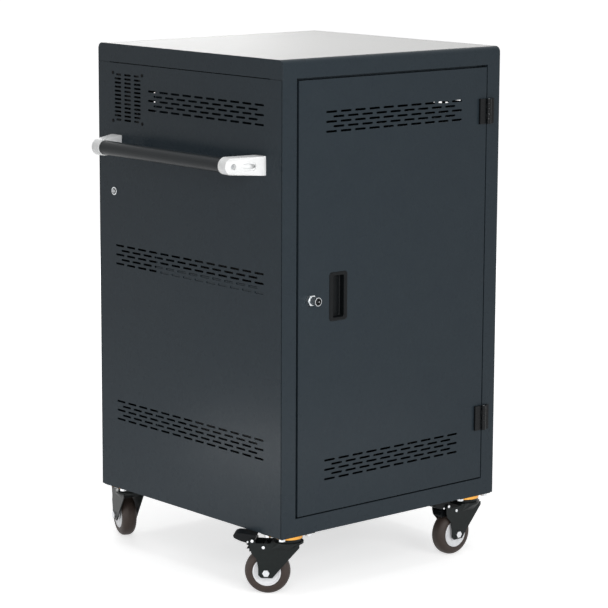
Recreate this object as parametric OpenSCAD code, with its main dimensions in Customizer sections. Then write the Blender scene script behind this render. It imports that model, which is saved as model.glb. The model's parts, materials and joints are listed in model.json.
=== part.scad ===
/* [Cabinet] */
// Width of the cabinet, left to right
body_w = 622; // [600:1:700]
// Depth of the cabinet, front to back
body_d = 628; // [615:1:700]
// Height of the cabinet above its casters
body_h = 1000; // [980:1:1100]
// Thickness of the steel sheet
sheet = 1.5; // [1:0.1:2]
// Height of the lid's side skirts
lid_skirt = 40; // [36:1:50]
// Radius of the bends along the front and the back of the top
lid_round = 13; // [8:0.5:16]
// Thickness of the lid's top under the worktop
lid_t = 2; // [1.5:0.5:4]
// Thickness of the worktop sheet
worktop_t = 2; // [1:0.5:4]
// Seam between neighbouring panels
seam = 1.6; // [0.4:0.1:2]
// Side of a corner post
post_w = 20; // [16:1:22]
// Height of the base pan above the cabinet's lower edge
pan_lift = 1; // [0.5:0.5:8]

/* [Doors] */
// Width of the frame on the lock side
lock_stile = 38.4; // [36:0.1:44]
// Width of the frame on the hinge side
hinge_stile = 37; // [34:0.5:44]
// Height of the frame below the door
bottom_rail = 38; // [34:1:50]
// Height of the frame above the door
top_rail = 39; // [36:1:50]
// Gap at the hinge side and the foot of a door
door_gap = 3; // [2:0.5:5]
// Gap at the lock side of a door
lock_gap = 5.5; // [3:0.5:6]
// Gap over a door
head_gap = 5; // [3:0.5:6]
// Depth of a door pan
door_t = 18; // [17:0.5:24]
// Gap between a closed door and its stop
stop_gap = 1.5; // [1:0.5:3]
// Width of the stop that a door closes on
stop_w = 10; // [6:1:12]

/* [Slots] */
// Length of a vent slot as a share of the distance between slots
slot_share = 0.75; // [0.6:0.05:0.85]
// Height of a vent slot
slot_h = 4.5; // [3:0.5:6]
// Bare strip at each end of a long row on a side
side_edge = 59; // [56:1:80]
// Bare strip at each end of a long row on a door
door_edge = 116; // [106:1:130]
// Distance between rows of slots
slot_row = 10.2; // [9:0.1:12]
// Slots in a long row
long_count = 13; // [8:1:13]
// Slots in a short row
short_count = 10; // [6:1:10]
// Rows in a field of slots
slot_rows = 5; // [3:1:6]
// Height of the door's upper slots below the cabinet's top
door_vent_top = 132.5; // [110:0.5:160]
// Height of the door's lower slots above the cabinet's lower edge
door_vent_low = 131; // [110:1:160]
// Height of the side's upper slots below the cabinet's top
side_vent_top = 116; // [106:1:120]
// Height of the side's middle slots above the cabinet's lower edge
side_vent_mid = 534; // [480:1:580]
// Height of the side's lower slots above the cabinet's lower edge
side_vent_low = 181; // [140:1:220]

/* [Fan] */
// Side of the fan housing
fan_w = 120; // [119:1:124]
// Spacing of the fan's screws
fan_hole_spacing = 105; // [104:0.5:106]
// Depth of the fan housing
fan_d = 25; // [20:1:38]
// Distance from the fan's axis to the cabinet's back
fan_from_back = 106; // [100:1:110]
// Diameter of the fan's bore
fan_bore_d = 112; // [106:1:113]
// Diameter of the fan's hub
fan_hub_d = 42; // [34:1:50]
// Number of fan blades
fan_blades = 7; // [5:1:9]

/* [Handle] */
// Diameter of the handle tube
grip_d = 31; // [26:1:34]
// Distance from the side panel to the tube's axis
grip_reach = 64; // [56:1:80]
// Height of the handle below the cabinet's top
grip_drop = 219; // [200:1:260]
// Distance from the cabinet's front and back to the brackets
bracket_inset = 52; // [48:1:70]
// Width of a bracket on the panel
bracket_w = 32; // [26:1:40]
// Height of a bracket
bracket_h = 40; // [36:1:46]
// Height of a bracket's outer end
bracket_tip_h = 36; // [35:0.5:40]
// Distance that a bracket's outer end leans towards the middle
bracket_lean = 32; // [20:1:40]
// Length of a bracket's outer end along the tube
bracket_end = 24; // [20:1:32]
// Depth of the tube's socket in a bracket
grip_socket = 14; // [10:1:16]
// Diameter of a handle screw
grip_screw_d = 6; // [5:0.5:8]

/* [Locks] */
// Diameter of a lock barrel
barrel_d = 16; // [15:0.5:20]
// Diameter of a lock's front flange
lock_face_d = 18; // [18:0.5:26]
// Width of the front lock's six-sided collar
lock_collar = 21; // [20:0.5:27]
// Height of the front lock's collar
lock_collar_h = 9; // [5:0.5:11]
// Diameter of the turning plug
plug_d = 12; // [10:0.5:12]
// Distance that the front lock stands out from the door
front_lock_proud = 28; // [12:1:30]
// Distance from the cabinet's left face to the front lock
front_lock_x = 75; // [72:1:92]
// Height of the front lock above the cabinet's lower edge
front_lock_z = 500; // [440:1:560]
// Distance from the cabinet's back to the side lock
side_lock_back = 56; // [54:1:62]
// Height of the side lock below the cabinet's top
side_lock_drop = 325; // [300:1:360]
// Length of the side lock's spindle
spindle_len = 70; // [68:1:76]
// Width of a cam
cam_w = 12; // [8:1:14]
// Reach of the side lock's cam
side_cam_len = 28; // [24:1:30]

/* [Pull] */
// Width of the pull's opening
pull_w = 29; // [24:1:36]
// Height of the pull's opening
pull_h = 88; // [76:1:100]
// Width of the pull's rim
pull_rim = 10.5; // [5:0.5:12]
// Depth of the pull's cup
pull_depth = 14; // [10:1:15]
// Distance from the cabinet's left face to the pull's axis
pull_x = 154; // [148:1:176]
// Height of the pull above the cabinet's lower edge
pull_z = 500; // [440:1:560]

/* [Hinges] */
// Height of a hinge
hinge_h = 55; // [45:1:70]
// Width of a hinge's door leaf from its axis
hinge_door_w = 24; // [20:1:27]
// Width of a hinge's frame leaf from its axis
hinge_frame_w = 17; // [14:1:27]
// Thickness of a hinge leaf
hinge_leaf_t = 5; // [4:0.5:6]
// Radius of a hinge knuckle
knuckle_r = 5.5; // [5:0.25:6]
// Diameter of a hinge pin
hinge_pin_d = 5; // [4:0.5:6]
// Height of the upper hinge below the cabinet's top
hinge_top = 139; // [120:1:180]
// Height of the lower hinge above the cabinet's lower edge
hinge_low = 178; // [120:1:240]

/* [Bays] */
// Number of laptop bays in a tray
bay_count = 10; // [8:1:14]
// Thickness of a divider
divider_t = 3; // [2:0.5:4]
// Height of a divider
divider_h = 230; // [180:5:280]
// Length of a divider
divider_len = 320; // [260:5:340]
// Height of the lower tray above the cabinet's lower edge
lower_tray_z = 48; // [46:1:70]
// Distance from the cabinet's front to the rear partition
partition_y = 424; // [400:1:440]
// Height of a tray's side flange
tray_flange = 25; // [15:1:35]

/* [Power] */
// Sockets on a strip
socket_count = 10; // [8:1:12]
// Distance between sockets
socket_pitch = 42; // [38:1:44]
// Height of a socket strip
strip_h = 46; // [40:1:60]
// Depth of a socket strip
strip_d = 40; // [30:1:50]
// Height of a socket strip above its tray
strip_rise = 250; // [200:5:280]
// Height of an adapter shelf above its tray
shelf_rise = 90; // [60:5:120]
// Width of the control box
control_w = 180; // [120:5:220]
// Height of the control box
control_h = 90; // [60:5:100]
// Depth of the control box
control_d = 60; // [40:5:70]
// Distance from the cabinet's back to the mains inlet
inlet_back = 110; // [80:1:140]
// Height of the mains inlet above the cabinet's lower edge
inlet_z = 110; // [100:1:120]

/* [Casters] */
// Height from the floor to the cabinet's lower edge
caster_h = 133; // [131:1:140]
// Diameter of a wheel
wheel_d = 97; // [90:1:99]
// Width of a tyre
tyre_w = 34; // [30:1:36]
// Diameter of a wheel's core
core_d = 61; // [54:1:64]
// Distance from the swivel axis to the axle
trail = 43.5; // [40:0.5:45]
// Diameter of an axle
axle_d = 8; // [6:0.5:10]
// Thickness of a mounting plate
plate_t = 3.5; // [3:0.5:5]
// Length of a mounting plate
plate_l = 93; // [88:1:93]
// Width of a mounting plate
plate_w = 67; // [64:1:70]
// Spacing of the plate's bolts along its length
plate_hole_x = 73; // [72:0.5:76]
// Spacing of the plate's bolts along its width
plate_hole_y = 45; // [44:0.5:48]
// Radius of the swivel race
race_r = 31; // [26:1:33]
// Radius of the fork's crown
crown_r = 33; // [30:1:34]
// Distance from the cabinet's side to a swivel axis
caster_in_x = 50; // [50:1:60]
// Distance from the cabinet's front or back to a swivel axis
caster_in_y = 37; // [36:1:50]
// Reach of a brake pedal from the swivel axis
pedal_reach = 116; // [110:1:124]

/* [Hidden] */
$fn = 48;

// Fits and small gaps
run_fit = 0.05;
slip_fit = 0.2;
body_gap = 0.5;
cut = 1;

// Cabinet edges, measured from the middle of the cabinet and the floor
left_x = -body_w / 2;
right_x = body_w / 2;
front_y = -body_d / 2;
back_y = body_d / 2;
low_z = caster_h;
top_z = caster_h + body_h;
skirt_z = top_z - lid_skirt;

// Door opening, door edges and frame depth
open_x0 = left_x + lock_stile;
open_x1 = right_x - hinge_stile;
open_z0 = low_z + bottom_rail;
open_z1 = top_z - top_rail;
door_x0 = open_x0 + lock_gap;
door_x1 = open_x1 - door_gap;
door_z0 = open_z0 + door_gap;
door_z1 = open_z1 - head_gap;
frame_d = door_t + stop_gap + sheet;

// Hinge axis in front of the door's face
hinge_axis_out = knuckle_r + 1;
hinge_x = open_x1 - door_gap / 2;
hinge_y = front_y - hinge_axis_out;
hinge_zs = [low_z + hinge_low, top_z - hinge_top];
knuckle_clear = knuckle_r + 1;

// Locks
lock_lip = 2;
plug_proud = 1;
barrel_back = frame_d + 1;
cam_t = 2.5;
tail_r = 4;
nut_h = 4;
front_lock = [left_x + front_lock_x, low_z + front_lock_z];
front_cam_len = front_lock_x - lock_stile + 5;
side_lock = [back_y - side_lock_back, top_z - side_lock_drop];
cam_x = left_x + spindle_len;
strike_gap = 1.5;
strike_drop = 14;
strike_h = 18;
keyway_t = 2.4;
keyway_h = 8;
keyway_d = 16;

// Handle
bracket_out = grip_reach + bracket_tip_h / 2;
grip_axis_z = top_z - grip_drop;
bracket_tip0 = bracket_inset + bracket_lean;
bracket_tip1 = bracket_tip0 + bracket_end;
grip_len = body_d - 2 * (bracket_tip1 - grip_socket);
wall_screw_y = bracket_inset + bracket_w / 2;
screw_head_r = grip_screw_d * 0.9;
foot_t = 6;
pocket_d = 4;
pocket_l = 46;
pocket_h = 18;
pocket_shift = -2;

// Inside
lid_under = top_z - worktop_t - lid_t;
bend_z = top_z - lid_round;
pan_t = 2;
pan_z = low_z + pan_lift;
tray_y0 = front_y + frame_d + post_w + 2;
wall_y = front_y + partition_y;
bay_x0 = open_x0 + stop_w + 2;
bay_x1 = open_x1 - stop_w - 2;
bay_pitch = (bay_x1 - bay_x0 - divider_t) / bay_count;
divider_y0 = tray_y0 + 8;
divider_nose = 60;
tray_zs = [low_z + lower_tray_z, low_z + body_h / 2];
strip_w = socket_count * socket_pitch + 16;
cable_slot_w = strip_w;
cable_slot_h = 36;
shelf_y1 = back_y - frame_d - post_w - 2;
shelf_lip = 30;

// Mains inlet and switch on the right panel
inlet_w = 27;
inlet_h = 20;
inlet_depth = 26;
switch_w = 14;
switch_h = 22;
switch_pivot = 6;
switch_pin_r = 1.5;
rocker_r = 9.5;
rocker_tilt = 10;
plate_rim = 6;
inlet_plate_t = 2.5;
inlet_plate = [inlet_w + 3 * plate_rim, inlet_h + switch_h + 3 * plate_rim];
inlet_y = back_y - inlet_back;
inlet_mid_z = low_z + inlet_z;
socket_z = inlet_mid_z - (switch_h + plate_rim) / 2;
switch_z = inlet_mid_z + (inlet_h + plate_rim) / 2;

// Fan on the left panel, behind its grille
fan_y = back_y - fan_from_back;
fan_z = top_z - side_vent_top;
grille_row = 9;
grille_rows = 12;
grille_pitch = 35;
grille_slot = 24;
grille_short = 18;
fan_screw_d = 4;

// Slot fields
side_pitch = (body_d - 2 * side_edge) / (long_count - 1 + slot_share);
door_pitch = (body_w - 2 * door_edge) / (short_count - 1 + slot_share);
short_shift = (long_count - short_count) * side_pitch / 2;

// Caster heights, measured from the cabinet's lower edge
axle_z = wheel_d / 2 - caster_h;
plate_low = pan_lift - plate_t;
race_low = plate_low - 8;
neck_top = race_low - body_gap;
neck_h = 6.5;
neck_r = 27;
crown_top = neck_top - neck_h;
crown_t = 4;
crown_low = crown_top - crown_t;
leg_t = 2.5;
leg_gap = 4.5;
leg_in = tyre_w / 2 + leg_gap;
leg_out = leg_in + leg_t;
hub_w = 2 * leg_in - 2;
kingpin_r = 6;
kingpin_head_r = 11;
kingpin_head_t = 3.5;
plate_bolt_r = 4;
plate_bolt_head = 6.5;
saddle = 34;
bell_low = -34;
bell_nose = 4;
bell_open = 12;
leg_toe = 17;
leg_heel = 13;
leg_hip = 21;
leg_throat = 31;
leg_tail = 22;
brake_tail = 35;
brake_end = trail + brake_tail;
ear_w = 12;
ear_top = -10;
pedal_pin = [brake_end - 5, -15.8];
pedal_pin_r = 2.5;
pedal_hub_r = 6;
pedal_half_w = 20;
pedal_top = -1;
pedal_round = 8;
rivet = [trail + 6, -29];
shoe_gap = 0.5;
pedal_travel = 15;

// Casters: side, end and the way each one is turned
front_left = [left_x + caster_in_x, front_y + caster_in_y, -48];
front_right = [right_x - caster_in_x, front_y + caster_in_y, 0];
rear_left = [left_x + caster_in_x, back_y - caster_in_y, -110];
rear_right = [right_x - caster_in_x, back_y - caster_in_y, -60];
casters = [front_left, front_right, rear_left, rear_right];

// How far a turned caster's tyre reaches to the back of its swivel axis
tyre_round = 14;
function wheel_reach(turn) = -trail * sin(turn) + max([for (a = [0 : 15 : 90])
    (wheel_d / 2 - tyre_round + tyre_round * cos(a)) * abs(sin(turn))
    + (tyre_w / 2 - tyre_round + tyre_round * sin(a)) * abs(cos(turn))]);

// The model's origin is the middle of its own box, on the floor
front_out = front_lock_proud + plug_proud;
back_out = wheel_reach(rear_left[2]) - caster_in_y;
shift_x = (bracket_out - inlet_plate_t) / 2;
shift_y = (front_out - back_out) / 2;

// Colours
paint = "#34393f";
black_plastic = "#1e2022";
white_plastic = "#f4f5f6";
pale_grey = "#d9d8d6";
bright_zinc = "#cfd1d3";
yellow_zinc = "#d99a3c";
rubber = "#3c322e";

// Shapes used by several pieces

module place() {
    translate([shift_x, shift_y, 0]) children();
}

module at_back() {
    mirror([0, 1, 0]) children();
}

// A box from its lowest to its highest corner
module span(a, b) {
    translate(a) cube(b - a);
}

// A flat plate, drawn in X and Z, whose front face is at y
module upright_xz(y, t) {
    translate([0, y + t, 0]) rotate([90, 0, 0]) linear_extrude(t) children();
}

// A flat plate, drawn in Y and Z, whose left face is at x
module upright_yz(x, t) {
    translate([x, 0, 0]) rotate([90, 0, 90]) linear_extrude(t) children();
}

module rod_x(r, x0, x1) {
    translate([x0, 0, 0]) rotate([0, 90, 0]) cylinder(r = r, h = x1 - x0);
}

module rod_y(r, y0, y1) {
    translate([0, y0, 0]) rotate([-90, 0, 0]) cylinder(r = r, h = y1 - y0);
}

module hex_y(flats, y0, y1) {
    translate([0, y0, 0]) rotate([-90, 0, 0]) cylinder(d = flats / cos(30), h = y1 - y0, $fn = 6);
}

module slot2d(l, h) {
    square([l - h, h], center = true);
    for (s = [-1, 1]) translate([s * (l - h) / 2, 0]) circle(d = h);
}

// A field of staggered slots, every other row one slot shorter
module slot_field(count, pitch) {
    for (r = [0 : slot_rows - 1]) {
        n = count - r % 2;
        for (i = [0 : n - 1])
            translate([(i - (n - 1) / 2) * pitch, ((slot_rows - 1) / 2 - r) * slot_row])
                slot2d(pitch * slot_share, slot_h);
    }
}

module fan_holes(d) {
    for (a = [-1, 1]) for (b = [-1, 1])
        translate([a * fan_hole_spacing / 2, b * fan_hole_spacing / 2]) circle(d = d);
}

// Three columns of slots over the fan, with shorter ends at the corners
module grille() {
    for (r = [0 : grille_rows - 1]) for (c = [-1 : 1]) {
        corner = c != 0 && (r == 0 || r == grille_rows - 1);
        l = corner ? grille_short : grille_slot;
        inward = corner ? -c * (grille_slot - grille_short) / 2 : 0;
        translate([c * grille_pitch + inward, (r - (grille_rows - 1) / 2) * grille_row]) slot2d(l, slot_h);
    }
}

// Cabinet shell

module base_pan() {
    inner_w = body_w - 4 * sheet - 2 * slip_fit;
    color(paint) difference() {
        translate([0, 0, pan_z]) linear_extrude(pan_t) {
            square([inner_w, body_d - 2 * sheet], center = true);
            square([body_w - 2 * sheet, body_d - 2 * frame_d - 2 * slip_fit], center = true);
        }
        for (c = casters) translate([c[0], c[1], pan_z]) plate_bolt_places() translate([0, 0, -cut])
            cylinder(r = plate_bolt_r, h = pan_t + 2 * cut);
    }
}

module corner_posts() {
    post_low = pan_z + pan_t;
    color(paint) for (sx = [-1, 1]) for (sy = [-1, 1])
        translate([sx * (right_x - sheet - post_w / 2), sy * (back_y - frame_d - post_w / 2), post_low])
            linear_extrude(lid_under - post_low) difference() {
                square(post_w, center = true);
                square(post_w - 2 * sheet, center = true);
            }
}

// A rectangle round the door opening, grown or shrunk by an edge
module around_opening(edge) {
    translate([open_x0 - edge, open_z0 - edge])
        square([open_x1 - open_x0 + 2 * edge, open_z1 - open_z0 + 2 * edge]);
}

// A quarter of a circle in Y and Z at the front of the top
function bend_points(r, from, to) = [for (i = [0 : 8])
    let (a = from + (to - from) * i / 8) [front_y + lid_round + r * cos(a), bend_z + r * sin(a)]];

// A face sheet, bent back into the top and folded round the door to a stop
module door_frame() {
    stop_y = front_y + frame_d - sheet;
    back = front_y + frame_d;
    upright_xz(front_y, sheet) difference() {
        union() {
            translate([left_x, low_z]) square([body_w, skirt_z - low_z]);
            translate([left_x + sheet, low_z]) square([body_w - 2 * sheet, bend_z - low_z]);
        }
        around_opening(0);
    }
    upright_yz(left_x + sheet, body_w - 2 * sheet)
        polygon(concat(bend_points(lid_round, 180, 90), bend_points(lid_round - sheet, 90, 180)));
    for (x = [left_x + sheet, right_x - 2 * sheet])
        span([x, front_y + sheet, low_z], [x + sheet, back, bend_z]);
    upright_xz(front_y + sheet, frame_d - sheet) difference() {
        around_opening(sheet);
        around_opening(0);
    }
    upright_xz(stop_y, sheet) difference() {
        translate([left_x + sheet, open_z0 - sheet])
            square([body_w - 2 * sheet, open_z1 - open_z0 + 2 * sheet]);
        around_opening(-stop_w);
    }
}

module front_frame() {
    color(paint) door_frame();
}

module rear_frame() {
    color(paint) at_back() door_frame();
}

module side_sheet() {
    edge = front_y + sheet + seam;
    translate([edge, low_z]) square([-2 * edge, skirt_z - seam - low_z]);
}

module side_slots() {
    translate([0, low_z + side_vent_mid]) slot_field(long_count, side_pitch);
    translate([0, low_z + side_vent_low]) slot_field(long_count, side_pitch);
    translate([-short_shift, top_z - side_vent_top]) slot_field(short_count, side_pitch);
}

module left_panel() {
    color(paint) upright_yz(left_x, sheet) difference() {
        side_sheet();
        side_slots();
        translate([fan_y, fan_z]) {
            grille();
            fan_holes(fan_screw_d + 2 * slip_fit);
        }
        translate(side_lock) circle(d = barrel_d + 2 * slip_fit);
        for (s = [-1, 1]) translate([s * (back_y - wall_screw_y), grip_axis_z])
            circle(d = grip_screw_d + 2 * slip_fit);
    }
}

module right_panel() {
    color(paint) upright_yz(right_x - sheet, sheet) difference() {
        side_sheet();
        side_slots();
        translate([inlet_y, inlet_mid_z]) square(inlet_plate - [plate_rim, plate_rim], center = true);
    }
}

// Two upright end plates with rounded top corners, and the sheet between them
module top_lid() {
    front_arc = bend_points(lid_round, 180, 90);
    back_arc = [for (p = bend_points(lid_round, 90, 180)) [-p[0], p[1]]];
    outline = concat([[front_y, skirt_z]], front_arc, back_arc, [[back_y, skirt_z]]);
    color(paint) {
        for (x = [left_x, right_x - sheet]) upright_yz(x, sheet) polygon(outline);
        translate([0, 0, lid_under]) linear_extrude(lid_t)
            square([body_w - 2 * sheet, body_d - 2 * lid_round], center = true);
    }
}

module worktop() {
    fit = 2 * slip_fit;
    color(pale_grey) translate([0, 0, top_z - worktop_t]) linear_extrude(worktop_t)
        square([body_w - 2 * sheet - fit, body_d - 2 * lid_round - fit], center = true);
}

// Trays, dividers and the service bay behind them

module tray(z) {
    w = body_w - 2 * sheet;
    for (s = [0, 1]) {
        x = s == 0 ? left_x + sheet : right_x - 2 * sheet;
        span([x, tray_y0, z], [x + sheet, wall_y, z + tray_flange]);
    }
    span([-w / 2, tray_y0, z], [w / 2, wall_y, z + sheet]);
    span([-w / 2, tray_y0, z - tray_flange / 2], [w / 2, tray_y0 + sheet, z + sheet]);
}

module lower_tray() {
    color(paint) tray(tray_zs[0]);
}

module upper_tray() {
    color(paint) tray(tray_zs[1]);
}

// Upright plates with a sloped front corner
module dividers(z) {
    low = z + sheet;
    for (i = [0 : bay_count])
        upright_yz(bay_x0 + i * bay_pitch, divider_t)
            polygon([
                [divider_y0, low], [divider_y0 + divider_len, low],
                [divider_y0 + divider_len, low + divider_h], [divider_y0 + divider_nose, low + divider_h],
                [divider_y0, low + divider_h - divider_nose]
            ]);
}

module lower_dividers() {
    color(black_plastic) dividers(tray_zs[0]);
}

module upper_dividers() {
    color(black_plastic) dividers(tray_zs[1]);
}

// A full-height sheet with a long cable slot behind each tray
module rear_partition() {
    low = pan_z + pan_t;
    color(paint) upright_xz(wall_y, sheet) difference() {
        translate([left_x + sheet, low]) square([body_w - 2 * sheet, lid_under - low]);
        for (z = tray_zs) translate([0, z + strip_rise - cable_slot_h]) slot2d(cable_slot_w, cable_slot_h);
    }
}

module adapter_shelves() {
    w = body_w - 2 * sheet;
    color(paint) for (tray_z = tray_zs) {
        z = tray_z + shelf_rise;
        span([-w / 2, wall_y + sheet, z], [w / 2, shelf_y1, z + sheet]);
        span([-w / 2, shelf_y1 - sheet, z], [w / 2, shelf_y1, z + shelf_lip]);
    }
}

// Long boxes with a recess and three pin slots for every socket
module socket_strips() {
    y0 = wall_y + sheet;
    y1 = y0 + strip_d;
    recess = [socket_pitch - 12, strip_h - 14];
    pin_slot = [2.5, 24, 7];
    pin_places = [[-6, 4], [6, 4], [0, -7]];
    color(black_plastic) for (z = tray_zs) difference() {
        span([-strip_w / 2, y0, z + strip_rise], [strip_w / 2, y1, z + strip_rise + strip_h]);
        for (i = [0 : socket_count - 1])
            translate([(i - (socket_count - 1) / 2) * socket_pitch, y1, z + strip_rise + strip_h / 2]) {
                cube([recess[0], 4, recess[1]], center = true);
                for (p = pin_places) translate([p[0], 0, p[1]]) cube(pin_slot, center = true);
            }
    }
}

module control_box() {
    y0 = wall_y + sheet;
    z1 = skirt_z - 4;
    face_t = 2;
    face_y = y0 + control_d;
    half = control_w / 2;
    rim = 4;
    color(paint) {
        span([-half, y0, z1 - control_h], [half, face_y, z1]);
        span([-half - rim, face_y, z1 - control_h - rim], [half + rim, face_y + face_t, z1]);
    }
}

// One moulding that holds the appliance inlet and the switch
module mains_inlet() {
    wall = 2;
    plug_depth = 18;
    pin = [14, 2, 4];
    color(black_plastic) translate([right_x, inlet_y, 0]) difference() {
        union() {
            upright_yz(0, inlet_plate_t) translate([0, inlet_mid_z]) square(inlet_plate, center = true);
            upright_yz(-inlet_depth, inlet_depth) translate([0, inlet_mid_z])
                square(inlet_plate - [plate_rim + 2 * slip_fit, plate_rim + 2 * slip_fit], center = true);
        }
        difference() {
            upright_yz(inlet_plate_t - plug_depth, plug_depth + cut) translate([0, socket_z])
                square([inlet_w, inlet_h], center = true);
            for (p = [-7, 0, 7]) translate([inlet_plate_t - plug_depth + pin[0] / 2 - cut, p, socket_z])
                cube([pin[0] + cut, pin[1], pin[2]], center = true);
        }
        upright_yz(inlet_plate_t - plug_depth, plug_depth + cut) translate([0, switch_z])
            square([switch_w, switch_h], center = true);
        translate([switch_pivot - inlet_depth / 2, 0, switch_z])
            rod_y(switch_pin_r + run_fit, -switch_w / 2 - wall, switch_w / 2 + wall);
    }
}

// A drum-shaped switch with two flats, tipped to its off side
module power_rocker() {
    half = switch_w / 2 - body_gap;
    pin_end = 1.5;
    rocker_back = 3;
    color(black_plastic) translate([right_x + switch_pivot - inlet_depth / 2, inlet_y, switch_z]) {
        rod_y(switch_pin_r, -half - pin_end, half + pin_end);
        intersection() {
            rod_y(rocker_r, -half, half);
            union() for (s = [-1, 1]) rotate([0, rocker_tilt + s * rocker_tilt, 0])
                translate([-rocker_back, -half, s > 0 ? -rocker_r : 0])
                    cube([rocker_back + rocker_r, 2 * half, rocker_r]);
        }
    }
}

// Fan

module fan_housing() {
    strut = 6;
    hub_plate = 3;
    reach = fan_bore_d / 2 + 1;
    color(black_plastic) translate([left_x + sheet, fan_y, fan_z]) {
        difference() {
            upright_yz(0, fan_d) square(fan_w, center = true);
            rod_x(fan_bore_d / 2, -cut, fan_d + cut);
            upright_yz(-cut, fan_d + 2 * cut) fan_holes(fan_screw_d);
        }
        difference() {
            union() {
                rod_x(fan_hub_d / 2, fan_d - hub_plate, fan_d);
                for (a = [45, 135]) rotate([a, 0, 0])
                    span([fan_d - hub_plate, -reach, -strut / 2], [fan_d, reach, strut / 2]);
            }
            rod_x(3 + run_fit, fan_d - hub_plate - cut, fan_d + cut);
        }
    }
}

module fan_rotor() {
    tip = fan_bore_d / 2 - 1.5;
    back = fan_d - 4;
    color(black_plastic) translate([left_x + sheet, fan_y, fan_z]) {
        rod_x(fan_hub_d / 2, 2, back);
        rod_x(3, back - 1, fan_d);
        intersection() {
            rod_x(tip, 2, back);
            for (i = [0 : fan_blades - 1]) rotate([i * 360 / fan_blades, 0, 0])
                translate([(2 + back) / 2, 0, fan_hub_d / 2 - 2]) rotate([0, 0, 50])
                    translate([-1, -13, 0]) cube([2, 26, tip]);
        }
    }
}

module fan_screws() {
    head_r = fan_screw_d * 0.9;
    color(black_plastic) for (a = [-1, 1]) for (b = [-1, 1])
        translate([left_x, fan_y + a * fan_hole_spacing / 2, fan_z + b * fan_hole_spacing / 2]) {
            rod_x(head_r, -1, 0);
            rod_x(fan_screw_d / 2, -0.5, sheet + fan_d / 2);
        }
}

// Push handle on the left side

module handle_tube() {
    wall = 2;
    color(paint) translate([left_x - grip_reach, 0, grip_axis_z]) difference() {
        rod_y(grip_d / 2, -grip_len / 2, grip_len / 2);
        rod_y(grip_d / 2 - wall, -grip_len / 2 + grip_socket, grip_len / 2 - grip_socket);
        for (s = [-1, 1]) translate([0, s * grip_len / 2, 0])
            rod_y(grip_screw_d / 2, -grip_socket - cut, grip_socket + cut);
    }
}

// A shallow pocket in a bracket's slanted face, where its screws are
module bracket_pocket() {
    slant = [foot_t - bracket_out, bracket_lean];
    mid = [-(foot_t + bracket_out) / 2, bracket_inset + bracket_lean / 2];
    translate([left_x + mid[0], front_y + mid[1], grip_axis_z]) rotate([0, 0, atan2(slant[1], slant[0])])
        upright_xz(-pocket_d, pocket_d + bracket_h) translate([pocket_shift, 0]) slot2d(pocket_l, pocket_h);
}

// One arm from the panel to the tube's front end
module bracket() {
    half = bracket_h / 2;
    color(white_plastic) difference() {
        hull() {
            span([left_x - foot_t, front_y + bracket_inset, grip_axis_z - half],
                [left_x, front_y + bracket_inset + bracket_w, grip_axis_z + half]);
            translate([left_x - grip_reach, front_y, grip_axis_z])
                rod_y(bracket_tip_h / 2, bracket_tip0, bracket_tip1, $fn = 32);
        }
        translate([left_x - grip_reach, front_y, grip_axis_z]) {
            rod_y(grip_d / 2, bracket_tip1 - grip_socket, bracket_tip1 + cut);
            rod_y(grip_screw_d / 2 + slip_fit, bracket_inset - cut, bracket_tip1);
            rod_y(screw_head_r + 2 * body_gap, bracket_inset - cut, bracket_tip1 - grip_socket - 4);
        }
        translate([left_x, front_y + wall_screw_y, grip_axis_z]) {
            rod_x(grip_screw_d / 2 + slip_fit, -bracket_out, cut);
            rod_x(screw_head_r + body_gap, -bracket_out, -foot_t);
        }
        bracket_pocket();
    }
}

module handle_brackets() {
    bracket();
    at_back() bracket();
}

module handle_screw_pair() {
    head_t = 4;
    nut_t = 5;
    seat = bracket_tip1 - grip_socket - 4;
    translate([left_x, front_y + wall_screw_y, grip_axis_z]) {
        rod_x(screw_head_r, -foot_t - head_t, -foot_t);
        rod_x(grip_screw_d / 2, -foot_t - 1, sheet + nut_t + 2);
        translate([sheet, 0, 0]) rotate([0, 90, 0]) cylinder(r = screw_head_r, h = nut_t, $fn = 6);
    }
    translate([left_x - grip_reach, front_y, grip_axis_z]) {
        rod_y(screw_head_r, seat - head_t, seat);
        rod_y(grip_screw_d / 2, seat - 1, bracket_tip1 - 2);
    }
}

module handle_screws() {
    color(bright_zinc) {
        handle_screw_pair();
        at_back() handle_screw_pair();
    }
}

// Hinges: five knuckles, three of them on the frame leaf and two on the door leaf

module hinge_leaf(side, z) {
    fifth = hinge_h / 5;
    reach = side > 0 ? hinge_frame_w : hinge_door_w;
    near = side > 0 ? knuckle_clear : -reach;
    leaf_w = reach - knuckle_clear;
    bands = side > 0 ? [-2, 0, 2] : [-1, 1];
    translate([hinge_x, front_y, z]) difference() {
        union() {
            span([near, -hinge_leaf_t, -hinge_h / 2], [near + leaf_w, 0, hinge_h / 2]);
            for (b = bands) translate([0, 0, (b - 0.5) * fifth]) {
                h = fifth - body_gap;
                translate([0, -hinge_axis_out, body_gap / 2]) cylinder(r = knuckle_r, h = h);
                translate([side > 0 ? 0 : -knuckle_clear - 1, -hinge_axis_out, body_gap / 2])
                    cube([knuckle_clear + 1, knuckle_r - 0.5, h]);
            }
        }
        translate([0, -hinge_axis_out, -hinge_h]) cylinder(d = hinge_pin_d + 2 * run_fit, h = 2 * hinge_h);
    }
}

module frame_hinge_leaves() {
    color(black_plastic) for (z = hinge_zs) {
        hinge_leaf(1, z);
        at_back() hinge_leaf(1, z);
    }
}

module hinge_pins() {
    color(black_plastic) for (z = hinge_zs) for (s = [-1, 1])
        translate([hinge_x, s * hinge_y, z - hinge_h / 2]) cylinder(d = hinge_pin_d, h = hinge_h);
}

module front_door_leaves() {
    color(black_plastic) for (z = hinge_zs) hinge_leaf(-1, z);
}

module rear_door_leaves() {
    color(black_plastic) at_back() for (z = hinge_zs) hinge_leaf(-1, z);
}

// Doors: a folded pan with slots at the top and the bottom

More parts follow.
